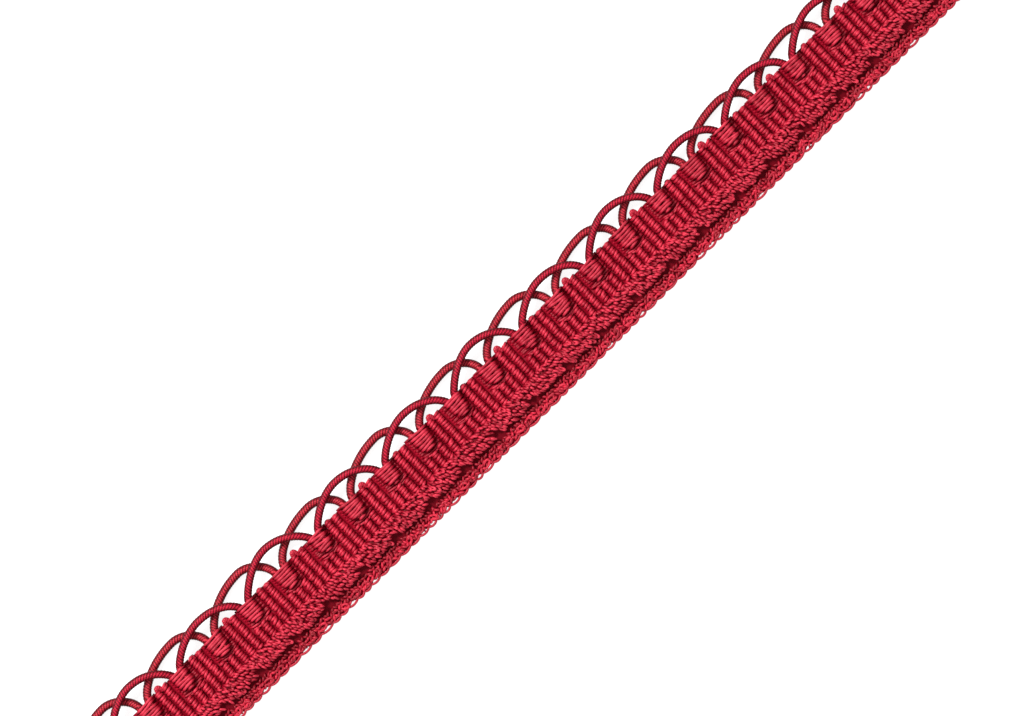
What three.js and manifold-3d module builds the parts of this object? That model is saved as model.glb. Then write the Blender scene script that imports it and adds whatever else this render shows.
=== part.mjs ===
// A 200 mm length of loop-edged gimp braid trim, lying flat with its loops towards +Y.
// Millimetres, +Z up. X runs along the strip, and the origin is the middle of its underside.
// Five pieces: a ribbed band with a pocket for each cord turn, two continuous loop cords that
// interlace above its edge, a rope-like scalloped edge below it, and a thin sewing flange.

import * as THREE from 'three';
import { mergeVertices } from 'three/addons/utils/BufferGeometryUtils.js';
import Module from 'manifold-3d';

// Driving dimensions along the strip
const LENGTH = 200;
const TURN_PITCH = 8;              // from one cord turn to the next, front and back in turn
const TURN_COUNT = LENGTH / TURN_PITCH;
const RIB_PITCH = TURN_PITCH / 5;
const GAP = 0.3;                   // clear space between neighbouring pieces
const SLIVER = 0.05;               // no section is cut nearer than this to an end

// Across the strip, from the band's loop-side edge
const BAND_WIDTH = 7.3;
const POCKET_LENGTH = 4.0;
const POCKET_WALL = 0.15;          // the slope of its lower wall
const LIP_REACH = 9.95;            // the rope-like edge's lumps
const NOTCH_DEPTH = 0.85;          // how far the dark notches between lumps cut in
const FLANGE_REACH = 13.05;
const FRONT_LOOP_RISE = 3.7;       // to the middle of the cord
const BACK_LOOP_RISE = 4.0;
const BAND_EDGE_Y = 3.96;          // where that edge lies, which centres the whole strip

// Heights
const RIB_TOP = 2.0;
const RIB_VALLEY = 1.45;
const POCKET_FLOOR = 0.7;
const LUMP_TOP = 2.35;
const LIP_UNDERSIDE = 1.4;
const FLANGE_THICKNESS = 1.0;

// The two cords
const FRONT_DIAMETER = 1.36;
const BACK_DIAMETER = 1.45;
const CORD_SIDES = 8;

const crimson = new THREE.MeshStandardMaterial({ color: 0xb4142f, roughness: 0.62, metalness: 0 });
const darkCrimson = new THREE.MeshStandardMaterial({ color: 0x9c1228, roughness: 0.7, metalness: 0 });
const frontCordRed = new THREE.MeshStandardMaterial({ color: 0xa81430, roughness: 0.5, metalness: 0 });
const backCordRed = new THREE.MeshStandardMaterial({ color: 0xb02a34, roughness: 0.55, metalness: 0 });

const turnX = (index) => (index + 0.5) * TURN_PITCH - LENGTH / 2;

// A closed solid lofted along X: one ring of [y, z] points for each station, with a flat face at
// either end.
function loftAlongX(stations, rings) {
  const size = rings[0].length;
  const positions = [];
  rings.forEach((ring, i) => ring.forEach(([y, z]) => positions.push(stations[i].x, y, z)));
  const indices = [];
  for (let i = 0; i < rings.length - 1; i += 1) {
    for (let j = 0; j < size; j += 1) {
      const a = i * size + j;
      const b = i * size + (j + 1) % size;
      indices.push(a, b, b + size, a, b + size, a + size);
    }
  }
  const lastRing = (rings.length - 1) * size;
  const capOf = (ring) => THREE.ShapeUtils.triangulateShape(
    ring.map(([y, z]) => new THREE.Vector2(y, z)), []);
  capOf(rings[0]).forEach(([a, b, c]) => indices.push(a, c, b));
  capOf(rings[rings.length - 1]).forEach(([a, b, c]) => {
    indices.push(lastRing + a, lastRing + b, lastRing + c);
  });
  const geometry = new THREE.BufferGeometry();
  geometry.setAttribute('position', new THREE.Float32BufferAttribute(positions, 3));
  geometry.setIndex(indices);
  geometry.computeVertexNormals();
  return geometry;
}

// The ribbed band. Of the five ribs to a turn, three stop below its pocket and two run the full
// width. The weft turns back at the end of each full rib, and that right of a back turn stands out.
const RIB_OFFSET = -0.2;           // the middle rib under a turn lies a little to its left
const RIB_CREST = 0.28;            // half the crest's width, as a share of the rib pitch
const EDGE_SOFTNESS = 0.35;        // how far the ribs drop at their ends
const BACK_WEFT_TURN = 0.3;
const FRONT_WEFT_TURN = 0.15;
const SECOND_WEFT_TURN = 0.1;
const RIB_PLACES = [
  { place: -1, isFull: false, startsInPocket: false },
  { place: 0, isFull: false, startsInPocket: true },
  { place: 1, isFull: false, startsInPocket: true },
  { place: 2, isFull: true, startsInPocket: true },
  { place: 3, isFull: true, startsInPocket: false },
];

function weftTurnAt(turn, place) {
  if (place !== 2) return SECOND_WEFT_TURN;
  return turn % 2 === 0 ? FRONT_WEFT_TURN : BACK_WEFT_TURN;
}

// Each rib starts in the valley on its left and has a flat crest.
function bandStations() {
  const stations = [];
  for (let turn = -1; turn <= TURN_COUNT; turn += 1) {
    RIB_PLACES.forEach(({ place, isFull, startsInPocket }) => {
      const ribX = turnX(turn) + RIB_OFFSET + place * RIB_PITCH;
      const weftTurn = isFull ? weftTurnAt(turn, place) : 0;
      stations.push({ x: ribX - RIB_PITCH / 2, top: RIB_VALLEY, inPocket: startsInPocket, weftTurn: 0 });
      stations.push({ x: ribX - RIB_CREST * RIB_PITCH, top: RIB_TOP, inPocket: !isFull, weftTurn });
      stations.push({ x: ribX + RIB_CREST * RIB_PITCH, top: RIB_TOP, inPocket: !isFull, weftTurn });
    });
  }
  return cutToLength(stations);
}

// Keeps the stations within the strip and repeats the outermost ones at its ends.
function cutToLength(stations) {
  const inside = stations.filter(({ x }) => Math.abs(x) < LENGTH / 2 - SLIVER);
  const first = { ...inside[0], x: -LENGTH / 2 };
  const last = { ...inside[inside.length - 1], x: LENGTH / 2 };
  return [first, ...inside, last];
}

function bandRing({ top, inPocket, weftTurn }) {
  const upperTop = inPocket ? POCKET_FLOOR : top;
  const edgeTop = inPocket ? POCKET_FLOOR : top - EDGE_SOFTNESS;
  return [
    [weftTurn, 0],
    [weftTurn, edgeTop],
    [-POCKET_LENGTH, upperTop],
    [-POCKET_LENGTH - POCKET_WALL, top],
    [-BAND_WIDTH, top - EDGE_SOFTNESS],
    [-BAND_WIDTH, 0],
  ];
}

function ribbedBand() {
  const stations = bandStations();
  return new THREE.Mesh(loftAlongX(stations, stations.map(bandRing)), crimson);
}

// The scalloped edge: one leaf-shaped lump for each turn, in two uneven halves, between notches that
// lie a little right of each turn. Its lip overhangs the flange.
const NOTCH_OFFSET = 1.67;
const LIP_SETBACK = 0.35;          // from the notches' bottoms back to the wall under the lip
const LUMP_FOOT = 1.75;
const INNER_CREST = 0.65;          // the lump's two crests, from its edge beside the ribs
const OUTER_CREST = 1.55;
const LUMP_SECTIONS = [            // along one lump, in shares of the turn pitch and of its rise
  { at: 0.0, reach: 0.0, inner: 0.5, outer: 0.0 },
  { at: 0.2, reach: 0.8, inner: 0.9, outer: 0.65 },
  { at: 0.4, reach: 0.9, inner: 1.0, outer: 0.75 },
  { at: 0.55, reach: 0.85, inner: 0.7, outer: 0.6 },
  { at: 0.75, reach: 1.0, inner: 0.85, outer: 0.9 },
];
const LIP_WALL = -LIP_REACH + NOTCH_DEPTH + LIP_SETBACK;

function scallopedEdge() {
  const sections = [];
  for (let turn = -2; turn <= TURN_COUNT; turn += 1) {
    LUMP_SECTIONS.forEach((section) => {
      sections.push({ ...section, x: turnX(turn) + NOTCH_OFFSET + section.at * TURN_PITCH });
    });
  }
  const stations = cutToLength(sections);
  const inner = -BAND_WIDTH - GAP;
  const crestZ = (share) => LUMP_FOOT + (LUMP_TOP - LUMP_FOOT) * share;
  const rings = stations.map((section) => [
    [inner, 0],
    [inner, RIB_VALLEY],
    [inner - INNER_CREST, crestZ(section.inner)],
    [inner - OUTER_CREST, crestZ(section.outer)],
    [-LIP_REACH + NOTCH_DEPTH * (1 - section.reach), LIP_UNDERSIDE],
    [LIP_WALL, LIP_UNDERSIDE],
    [LIP_WALL, 0],
  ]);
  return new THREE.Mesh(loftAlongX(stations, rings), crimson);
}

// The sewing flange: a thin chain-stitched tape tucked under the lip, its outer edge in shallow
// loops two ribs long, with a raised row of stitches one rib long.
const EDGE_LOOP_PITCH = 2 * RIB_PITCH;
const EDGE_LOOP_DEPTH = 0.4;
const STITCH_ROW = 1.7;            // from the outer edge in to the raised row
const STITCH_RELIEF = 0.2;

function sewingFlange() {
  const tuckedEdge = LIP_WALL - GAP;
  const count = (2 * LENGTH) / RIB_PITCH;
  const stations = [];
  const rings = [];
  for (let i = 0; i <= count; i += 1) {
    const along = (i * RIB_PITCH) / 2;
    const bulge = Math.abs(Math.sin((Math.PI * along) / EDGE_LOOP_PITCH));
    const edge = -FLANGE_REACH + EDGE_LOOP_DEPTH * (1 - bulge);
    stations.push({ x: along - LENGTH / 2 });
    rings.push([
      [tuckedEdge, 0],
      [tuckedEdge, FLANGE_THICKNESS],
      [-FLANGE_REACH + STITCH_ROW, FLANGE_THICKNESS + STITCH_RELIEF * (i % 2)],
      [edge, FLANGE_THICKNESS - STITCH_RELIEF],
      [edge, 0],
    ]);
  }
  return new THREE.Mesh(loftAlongX(stations, rings), darkCrimson);
}

// The loop cords. Each row is one turn, down a pocket and back, and the arc that leaves it to the
// right: how far the turn stands off its place, and how far the arc rises above the usual.
const FRONT_TURNS = [
  { shift: 0, lift: 0 },
  { shift: 0, lift: 0.15 },
  { shift: -0.25, lift: -0.3 },
  { shift: -0.2, lift: 0.4 },
  { shift: 0.2, lift: 0 },
  { shift: 0.05, lift: -0.05 },
  { shift: 0.25, lift: 0.3 },
  { shift: 0.25, lift: -0.2 },
  { shift: 0, lift: 0.15 },
  { shift: 0, lift: -0.35 },
  { shift: -0.15, lift: -0.2 },
  { shift: -0.3, lift: 0.1 },
  { shift: -0.25, lift: 0 },
  { shift: 0, lift: 0 },
  { shift: 0, lift: 0 },
];
const BACK_TURNS = [
  { shift: 0, lift: 0.4 },
  { shift: 0.1, lift: 0 },
  { shift: -0.15, lift: 0.4 },
  { shift: -0.1, lift: -0.05 },
  { shift: -0.05, lift: 0.25 },
  { shift: 0.1, lift: -0.05 },
  { shift: 0.05, lift: 0.2 },
  { shift: 0.1, lift: -0.2 },
  { shift: -0.1, lift: -0.1 },
  { shift: -0.05, lift: -0.5 },
  { shift: -0.2, lift: -0.2 },
  { shift: -0.35, lift: 0 },
  { shift: 0, lift: 0 },
  { shift: 0, lift: 0 },
];

// The front cord's arcs are even and pass over; the back cord's lean right and pass under. An arc
// is two Bezier curves that meet at its crest; the handles at the band's edge are given as a step
// sideways, a rise and a height, and those at the crest as a length. Each arc starts and ends a
// little off the band's edge, and from there its legs close up to the width of the round turn.
const FRONT_CORD = {
  turns: FRONT_TURNS,
  firstTurn: -2,                   // rows start past the strip's end, with this turn
  diameter: FRONT_DIAMETER,
  turnRadius: 0.72,
  turnDepth: 2.85,
  rise: FRONT_LOOP_RISE,
  crestAt: 0.53,
  crestZ: 2.5,
  leaving: { fromTurn: 1.02, step: 1.2, rise: 1.5, z: 2.95, crestHandle: 3.0 },
  arriving: { fromTurn: 1.02, step: 0.8, rise: 1.9, z: 2.95, crestHandle: 3.4 },
};
const BACK_CORD = {
  turns: BACK_TURNS,
  firstTurn: -1,
  diameter: BACK_DIAMETER,
  turnRadius: 0.77,
  turnDepth: 2.95,
  rise: BACK_LOOP_RISE,
  crestAt: 0.67,
  crestZ: 0.76,
  leaving: { fromTurn: 1.15, step: 0.9, rise: 1.9, z: 0.5, crestHandle: 4.8 },
  arriving: { fromTurn: 0.85, step: 0.2, rise: 2.2, z: 0.5, crestHandle: 2.2 },
};
const LEG_OVERHANG = 0.2;          // how far the legs run past the band's edge, still level
const LEG_BEND = 0.5;              // how soon a leg leaves the direction of its arc
const LEGS_CLOSED = 1.0;           // how far down the pocket the legs are as close as the turn
const LEG_STEPS = 2;
const ARC_STEPS = 5;
const TURN_STEPS = 3;

// The half circle at the bottom of a turn, from its left leg to its right.
class RoundTurn extends THREE.Curve {
  constructor(centre, radius) {
    super();
    this.centre = centre;
    this.radius = radius;
  }

  getPoint(t) {
    const angle = Math.PI * (1 + t);
    const offset = new THREE.Vector3(Math.cos(angle), Math.sin(angle), 0).multiplyScalar(this.radius);
    return offset.add(this.centre);
  }
}

// Curves joined end to end, each stepped evenly on its own, so that tight turns get close steps:
// equal steps of the route's parameter aren't equal lengths.
class CordRoute extends THREE.Curve {
  constructor(parts) {
    super();
    this.parts = parts;
    this.steps = parts.reduce((sum, { steps }) => sum + steps, 0);
  }

  getPoint(t) {
    let step = t * this.steps;
    let index = 0;
    while (index < this.parts.length - 1 && step > this.parts[index].steps) {
      step -= this.parts[index].steps;
      index += 1;
    }
    const { curve, steps } = this.parts[index];
    return curve.getPoint(Math.min(step / steps, 1));
  }

  getUtoTmapping(u) {
    return u;
  }
}

// One leg, level in its pocket, from the band's edge down to the round turn. The handle is that of
// the arc it carries on, and the side is 1 for a right leg and -1 for a left one.
function legOf(edge, handle, side, turnCentre, turnRadius) {
  const onward = new THREE.Vector2(side * handle.step, handle.rise - edge.y).normalize();
  const closedX = turnCentre.x + side * turnRadius;
  return new THREE.CubicBezierCurve3(
    edge,
    new THREE.Vector3(edge.x - LEG_BEND * onward.x, edge.y - LEG_BEND * onward.y, edge.z),
    new THREE.Vector3(closedX, -LEGS_CLOSED, edge.z),
    new THREE.Vector3(closedX, turnCentre.y, edge.z),
  );
}

function reversed(curve) {
  return new THREE.CubicBezierCurve3(curve.v3, curve.v2, curve.v1, curve.v0);
}

function routeOf(cord) {
  const { leaving, arriving, turnRadius } = cord;
  const turnZ = POCKET_FLOOR + GAP + cord.diameter / 2;
  const places = cord.turns.map(({ shift }, i) => turnX(cord.firstTurn + 2 * i) + shift);
  const parts = [];
  for (let i = 0; i < places.length - 1; i += 1) {
    const start = new THREE.Vector3(places[i] + leaving.fromTurn, LEG_OVERHANG, turnZ);
    const end = new THREE.Vector3(places[i + 1] - arriving.fromTurn, LEG_OVERHANG, turnZ);
    const rise = cord.rise + cord.turns[i].lift;
    const crest = new THREE.Vector3(THREE.MathUtils.lerp(start.x, end.x, cord.crestAt), rise, cord.crestZ);
    const up = new THREE.CubicBezierCurve3(
      start,
      new THREE.Vector3(start.x + leaving.step, leaving.rise, leaving.z),
      new THREE.Vector3(crest.x - leaving.crestHandle, rise, cord.crestZ),
      crest,
    );
    const down = new THREE.CubicBezierCurve3(
      crest,
      new THREE.Vector3(crest.x + arriving.crestHandle, rise, cord.crestZ),
      new THREE.Vector3(end.x - arriving.step, arriving.rise, arriving.z),
      end,
    );
    const centre = new THREE.Vector3(places[i + 1], turnRadius - cord.turnDepth, turnZ);
    const nextStart = new THREE.Vector3(places[i + 1] + leaving.fromTurn, LEG_OVERHANG, turnZ);
    const leftLeg = legOf(end, arriving, -1, centre, turnRadius);
    const rightLeg = reversed(legOf(nextStart, leaving, 1, centre, turnRadius));
    parts.push({ curve: up, steps: ARC_STEPS });
    parts.push({ curve: down, steps: ARC_STEPS });
    parts.push({ curve: leftLeg, steps: LEG_STEPS });
    parts.push({ curve: new RoundTurn(centre, turnRadius), steps: TURN_STEPS });
    parts.push({ curve: rightLeg, steps: LEG_STEPS });
  }
  return new CordRoute(parts);
}

const wasm = await Module();
wasm.setup();

function solidOf(geometry) {
  const bare = geometry.clone();
  bare.deleteAttribute('normal');
  bare.deleteAttribute('uv');
  const welded = mergeVertices(bare, 1e-5);
  return new wasm.Manifold(new wasm.Mesh({
    numProp: 3,
    vertProperties: new Float32Array(welded.attributes.position.array),
    triVerts: new Uint32Array(welded.index.array),
  }));
}

function geometryOf(solid) {
  const { vertProperties, triVerts } = solid.getMesh();
  const geometry = new THREE.BufferGeometry();
  geometry.setAttribute('position', new THREE.BufferAttribute(vertProperties, 3));
  geometry.setIndex(new THREE.BufferAttribute(triVerts, 1));
  geometry.computeVertexNormals();
  return geometry;
}

// The cord is swept past both ends of the strip and cut off flush with them.
function loopCord(cord, material) {
  const section = new THREE.Shape();
  for (let i = 0; i < CORD_SIDES; i += 1) {
    const angle = (2 * Math.PI * (i + 0.5)) / CORD_SIDES;
    const corner = new THREE.Vector2(Math.cos(angle), Math.sin(angle)).multiplyScalar(cord.diameter / 2);
    if (i === 0) section.moveTo(corner.x, corner.y);
    else section.lineTo(corner.x, corner.y);
  }
  const route = routeOf(cord);
  const swept = new THREE.ExtrudeGeometry(section, { steps: route.steps, extrudePath: route });
  const kept = new THREE.BoxGeometry(LENGTH, LENGTH, LENGTH);
  return new THREE.Mesh(geometryOf(solidOf(swept).intersect(solidOf(kept))), material);
}

const pieces = {
  ribbed_band: ribbedBand(),
  scalloped_edge: scallopedEdge(),
  sewing_flange: sewingFlange(),
  loop_cord_front: loopCord(FRONT_CORD, frontCordRed),
  loop_cord_back: loopCord(BACK_CORD, backCordRed),
};

const trim = new THREE.Group();
trim.position.y = BAND_EDGE_Y;
Object.entries(pieces).forEach(([name, mesh]) => {
  mesh.name = name;
  trim.add(mesh);
});

export default trim;
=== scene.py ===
# A cut length of loop-edged gimp braid trim, face up on a pale table, seen from straight above.
# The thread work is in millimetres, measured from the band's loop-side edge, and set in metres.
import math

import bmesh
import bpy
import numpy as np
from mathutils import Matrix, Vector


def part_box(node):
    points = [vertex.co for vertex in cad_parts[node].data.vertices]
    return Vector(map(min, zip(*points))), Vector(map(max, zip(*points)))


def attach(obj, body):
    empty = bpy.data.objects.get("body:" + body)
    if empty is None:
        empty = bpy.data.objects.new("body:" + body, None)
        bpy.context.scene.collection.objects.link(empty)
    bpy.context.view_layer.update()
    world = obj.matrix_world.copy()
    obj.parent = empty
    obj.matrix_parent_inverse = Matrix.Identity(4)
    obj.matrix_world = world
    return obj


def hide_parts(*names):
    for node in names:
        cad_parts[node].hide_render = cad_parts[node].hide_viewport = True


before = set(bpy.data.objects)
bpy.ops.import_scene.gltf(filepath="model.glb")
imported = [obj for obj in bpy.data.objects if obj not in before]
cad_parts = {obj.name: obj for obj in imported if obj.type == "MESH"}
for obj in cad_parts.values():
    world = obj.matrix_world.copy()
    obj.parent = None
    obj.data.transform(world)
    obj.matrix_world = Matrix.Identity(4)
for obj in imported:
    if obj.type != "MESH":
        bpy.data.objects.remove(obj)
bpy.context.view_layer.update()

# The view: straight down, from far off, with the strip running corner to corner and out of the
# picture at both ends, its loops to the upper left.
VIEW_WIDTH = 172.7
VIEW_CENTRE = (-3.1, 0.74)
VIEW_TURN = -45
LENS = 150
SENSOR = 36

camera_data = bpy.data.cameras.new("camera")
camera_data.lens = LENS
camera_data.sensor_width = SENSOR
camera = bpy.data.objects.new("camera", camera_data)
view_height = LENS / SENSOR * VIEW_WIDTH
camera.location = (VIEW_CENTRE[0] / 1000, VIEW_CENTRE[1] / 1000, view_height / 1000)
camera.rotation_euler = (0, 0, math.radians(VIEW_TURN))
bpy.context.collection.objects.link(camera)
bpy.context.scene.camera = camera
bpy.context.scene.view_settings.view_transform = "Standard"

# The table: a plain white top with a little light of its own, so that shadows on it stay pale.
# One large soft lamp on the loops' side leaves each cord bright on that side and dark on the
# other, and an even pale room fills in the rest. Sizes in this section are in metres.
TABLE_SIZE = 3.0
TABLE_DROP = 0.00003
TABLE_GREY = 0.35
TABLE_ROUGHNESS = 0.9
TABLE_GLOW = 0.85
LAMP_DISTANCE = 0.8
LAMP_HEIGHT = 50
LAMP_TURN = 112
LAMP_SIZE = 0.2
LAMP_POWER = 7.5
ROOM_LIGHT = 0.8

table_mesh = bpy.data.meshes.new("table")
table_half = TABLE_SIZE / 2
table_corners = [(-table_half, -table_half, -TABLE_DROP), (table_half, -table_half, -TABLE_DROP),
                 (table_half, table_half, -TABLE_DROP), (-table_half, table_half, -TABLE_DROP)]
table_mesh.from_pydata(table_corners, [], [(0, 1, 2, 3)])
table = bpy.data.objects.new("table", table_mesh)
bpy.context.collection.objects.link(table)
table_paint = bpy.data.materials.new("table_paint")
table_paint.use_nodes = True
paint = table_paint.node_tree.nodes["Principled BSDF"]
paint.inputs["Base Color"].default_value = (TABLE_GREY, TABLE_GREY, TABLE_GREY, 1)
paint.inputs["Roughness"].default_value = TABLE_ROUGHNESS
paint.inputs["Emission Color"].default_value = (1, 1, 1, 1)
paint.inputs["Emission Strength"].default_value = TABLE_GLOW
table_mesh.materials.append(table_paint)

lamp_data = bpy.data.lights.new("lamp", "AREA")
lamp_data.shape = "DISK"
lamp_data.size = LAMP_SIZE
lamp_data.energy = LAMP_POWER
lamp = bpy.data.objects.new("lamp", lamp_data)
lamp_rise = math.radians(LAMP_HEIGHT)
lamp_turn = math.radians(LAMP_TURN)
lamp.location = (LAMP_DISTANCE * math.cos(lamp_rise) * math.cos(lamp_turn),
                 LAMP_DISTANCE * math.cos(lamp_rise) * math.sin(lamp_turn),
                 LAMP_DISTANCE * math.sin(lamp_rise))
lamp.rotation_euler = (math.pi / 2 - lamp_rise, 0, lamp_turn + math.pi / 2)
bpy.context.collection.objects.link(lamp)

room = bpy.data.worlds.new("room")
room.use_nodes = True
room_background = room.node_tree.nodes["Background"]
room_background.inputs["Color"].default_value = (1, 1, 1, 1)
room_background.inputs["Strength"].default_value = ROOM_LIGHT
bpy.context.scene.world = room

# The ground cloth: one strip of crimson weave that carries everything, from the loops' edge to
# the flange. Thick wefts lie across it as ribs, it sinks in a pocket at each cord turn, swells
# under the scalloped edge, and thins to a tape at the flange.
TURN_PITCH = 8.0
RIBS_PER_TURN = 5
RIB_PITCH = TURN_PITCH / RIBS_PER_TURN
RIB_OFFSET = -0.2
RIB_FULLNESS = 0.8
BAND_WIDTH = 7.3
POCKET_LENGTH = 4.2
POCKET_HALF = 2.57
POCKET_WALL = 0.35
SWELL_OVERLAP = 0.4
SWELL_SKEW = 0.9
SWELL_FULLNESS = 0.6
LIP_REACH = 10.2
LIP_TUCK = 0.2
NOTCH_DEPTH = 0.7
NOTCH_FROM_TURN = 1.67
NOTCH_SPREAD = 1.0
NOTCH_SINK = 0.55
GROOVE_Y = -11.4
GROUND_REACH = 12.75
EDGE_LOOP_LENGTHS = (1.5, 2.8)
EDGE_LOOPS_PAST_END = 1.0
SLIT_SHARE = 0.4
SLIT_DEPTH = 0.36
SLIT_SHORTNESS = 2.4
VALLEY_Z = 0.8
CREST_Z = 1.55
POCKET_Z = 0.7
EDGE_FOOT_Z = 1.1
EDGE_SWELL_RISE = 0.6
FLANGE_Z = 0.5
UNDERSIDE_RELIEF = 0.12
COLUMNS_PER_RIB = 8
GROUND_ROWS = 35
GROUND_DEEP = (0.14, 0.0005, 0.006)
GROUND_BRIGHT = (0.36, 0.004, 0.02)
GROUND_TINT = 0.35
# Painted shade: how much darker the cloth is made in the rib valleys, under the scalloped edge, and in
# the pockets left and right of each turn.
PAINTED_VALLEY_SHADE = 0.3
PAINTED_EDGE_SHADE = 0.55
PAINTED_POCKET_SHADE_LEFT = 0.05
PAINTED_POCKET_SHADE_RIGHT = 0.35
THREAD_ROUGHNESS = 0.42
MOTTLE_PER_METRE = 1500
MOTTLE_DETAIL = 3
MOTTLE_SHARE = 0.6
DEEP_UP_TO = 0.15
TWIST_SLANT = 45
TWIST_WAVER = 0.6
TWIST_STRENGTH = 0.5
END_TOLERANCE = 0.001
band_low, band_high = (np.array(corner) * 1000 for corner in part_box("ribbed_band"))
LENGTH = band_high[0] - band_low[0]
EDGE_Y = band_low[1] + BAND_WIDTH
TURN_COUNT = round(LENGTH / TURN_PITCH)
chance = np.random.default_rng(7)


def turn_x(index):
    """Where along the strip a cord turn lies, counted from its left end."""
    return (index + 0.5) * TURN_PITCH - LENGTH / 2


def dyed_and_shaded_thread(name, deep, bright, ply_pitch=0.3, ply_depth=0.02, shine=0.3):
    """Shiny rayon thread with its fine twist, painted shade where it dives and painted highlight on
    crests.
    """
    material = bpy.data.materials.new(name)
    material.use_nodes = True
    nodes, links = material.node_tree.nodes, material.node_tree.links
    shader = nodes["Principled BSDF"]
    shader.inputs["Roughness"].default_value = THREAD_ROUGHNESS
    shader.inputs["Specular IOR Level"].default_value = shine
    tint_and_shading = nodes.new("ShaderNodeAttribute")
    tint_and_shading.attribute_name = "tint_and_shading"
    mottle = nodes.new("ShaderNodeTexNoise")
    mottle.inputs["Scale"].default_value = MOTTLE_PER_METRE
    mottle.inputs["Detail"].default_value = MOTTLE_DETAIL
    places = nodes.new("ShaderNodeTexCoord")
    links.new(places.outputs["Object"], mottle.inputs["Vector"])
    both = nodes.new("ShaderNodeMath")
    both.operation = "MULTIPLY_ADD"
    both.inputs[1].default_value = MOTTLE_SHARE
    links.new(mottle.outputs["Fac"], both.inputs[0])
    links.new(tint_and_shading.outputs["Fac"], both.inputs[2])
    # The ramp's deep end is the painted-shade colour and its bright end the painted-highlight colour;
    # random tone and mottle spread over both.
    reds = nodes.new("ShaderNodeValToRGB")
    reds.color_ramp.elements[0].position = DEEP_UP_TO
    reds.color_ramp.elements[0].color = (*deep, 1)
    reds.color_ramp.elements[1].position = 1.0
    reds.color_ramp.elements[1].color = (*bright, 1)
    links.new(both.outputs["Value"], reds.inputs["Fac"])
    links.new(reds.outputs["Color"], shader.inputs["Base Color"])
    thread_map = nodes.new("ShaderNodeUVMap")
    thread_map.uv_map = "along_thread"
    stretch = nodes.new("ShaderNodeMapping")
    stretch.inputs["Scale"].default_value = (1 / ply_pitch, 1.0, 1.0)
    stretch.inputs["Rotation"].default_value = (0, 0, math.radians(TWIST_SLANT))
    plies = nodes.new("ShaderNodeTexWave")
    plies.inputs["Scale"].default_value = 1.0
    plies.inputs["Distortion"].default_value = TWIST_WAVER
    links.new(thread_map.outputs["UV"], stretch.inputs["Vector"])
    links.new(stretch.outputs["Vector"], plies.inputs["Vector"])
    bump = nodes.new("ShaderNodeBump")
    bump.inputs["Strength"].default_value = TWIST_STRENGTH
    bump.inputs["Distance"].default_value = ply_depth / 1000
    links.new(plies.outputs["Fac"], bump.inputs["Height"])
    links.new(bump.outputs["Normal"], shader.inputs["Normal"])
    return material


def make_piece(name, points, faces, face_uv, tint_and_shading, dye_and_shading, replaced):
    """A smooth piece of four-sided faces, cut flush with the strip's two ends."""
    mesh = bpy.data.meshes.new(name)
    mesh.vertices.add(len(points))
    mesh.vertices.foreach_set("co", ((points + [0, EDGE_Y, 0]) / 1000).ravel())
    mesh.loops.add(4 * len(faces))
    mesh.loops.foreach_set("vertex_index", faces.ravel())
    mesh.polygons.add(len(faces))
    mesh.polygons.foreach_set("loop_start", np.arange(0, 4 * len(faces), 4))
    mesh.polygons.foreach_set("use_smooth", np.ones(len(faces), bool))
    mesh.update(calc_edges=True)
    mesh.uv_layers.new(name="along_thread").data.foreach_set("uv", face_uv.ravel())
    # The per-point value holds random tone together with painted shade and painted highlight.
    mesh.attributes.new("tint_and_shading", "FLOAT", "POINT").data.foreach_set("value", tint_and_shading.ravel())
    if np.abs(points[:, 0]).max() > LENGTH / 2 + END_TOLERANCE:
        cut_ends(mesh)
    mesh.materials.append(dye_and_shading)
    piece = bpy.data.objects.new(name, mesh)
    bpy.context.collection.objects.link(piece)
    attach(piece, "root")
    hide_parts(*replaced)
    return piece


def cut_ends(mesh):
    """Cut off what runs past the strip's two ends, and close each cut with a flat face."""
    half_length = LENGTH / 2000
    work = bmesh.new()
    work.from_mesh(mesh)
    for side in (-1, 1):
        everything = work.verts[:] + work.edges[:] + work.faces[:]
        bmesh.ops.bisect_plane(work, geom=everything, dist=1e-8, plane_co=(side * half_length, 0, 0),
                               plane_no=(side, 0, 0), clear_outer=True)
    open_edges = [edge for edge in work.edges if edge.is_boundary]
    filled = bmesh.ops.holes_fill(work, edges=open_edges, sides=0)
    for face in filled["faces"]:
        face.smooth = False
    work.to_mesh(mesh)
    work.free()


edge_loop_ends = [-LENGTH / 2 - EDGE_LOOPS_PAST_END]
while edge_loop_ends[-1] < LENGTH / 2 + EDGE_LOOPS_PAST_END:
    edge_loop_ends.append(edge_loop_ends[-1] + chance.uniform(*EDGE_LOOP_LENGTHS))
has_slit = chance.uniform(size=len(edge_loop_ends)) < SLIT_SHARE


def edge_loop_bulge(x):
    """How far the outermost thread stands out: 0 where two of its loops meet, 1 in between."""
    return np.abs(np.sin(math.pi * np.interp(x, edge_loop_ends, np.arange(len(edge_loop_ends)))))


def slits(x):
    """How far the tape's outer edge stands back behind a loose loop of the outermost thread."""
    loop_index = np.searchsorted(edge_loop_ends, x) - 1
    opened = np.clip(1 - SLIT_SHORTNESS * (1 - edge_loop_bulge(x)), 0, 1) ** 0.5
    return SLIT_DEPTH * has_slit[loop_index] * opened


def rib_crest(x):
    """1 on the crest of a rib and 0 in the valley between two."""
    return np.abs(np.cos(math.pi * (x - turn_x(0) - RIB_OFFSET) / RIB_PITCH)) ** RIB_FULLNESS


def from_turn(x):
    """How far x lies to the right of the nearest turn, or to its left if negative."""
    return (x - turn_x(0) + TURN_PITCH / 2) % TURN_PITCH - TURN_PITCH / 2


def in_pocket(x, y):
    """1 in the sunk place about a cord turn and 0 on the ribs about it."""
    sunk = np.clip((POCKET_HALF - np.abs(from_turn(x))) / POCKET_WALL, 0, 1)
    return sunk * (y > -POCKET_LENGTH)


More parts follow.
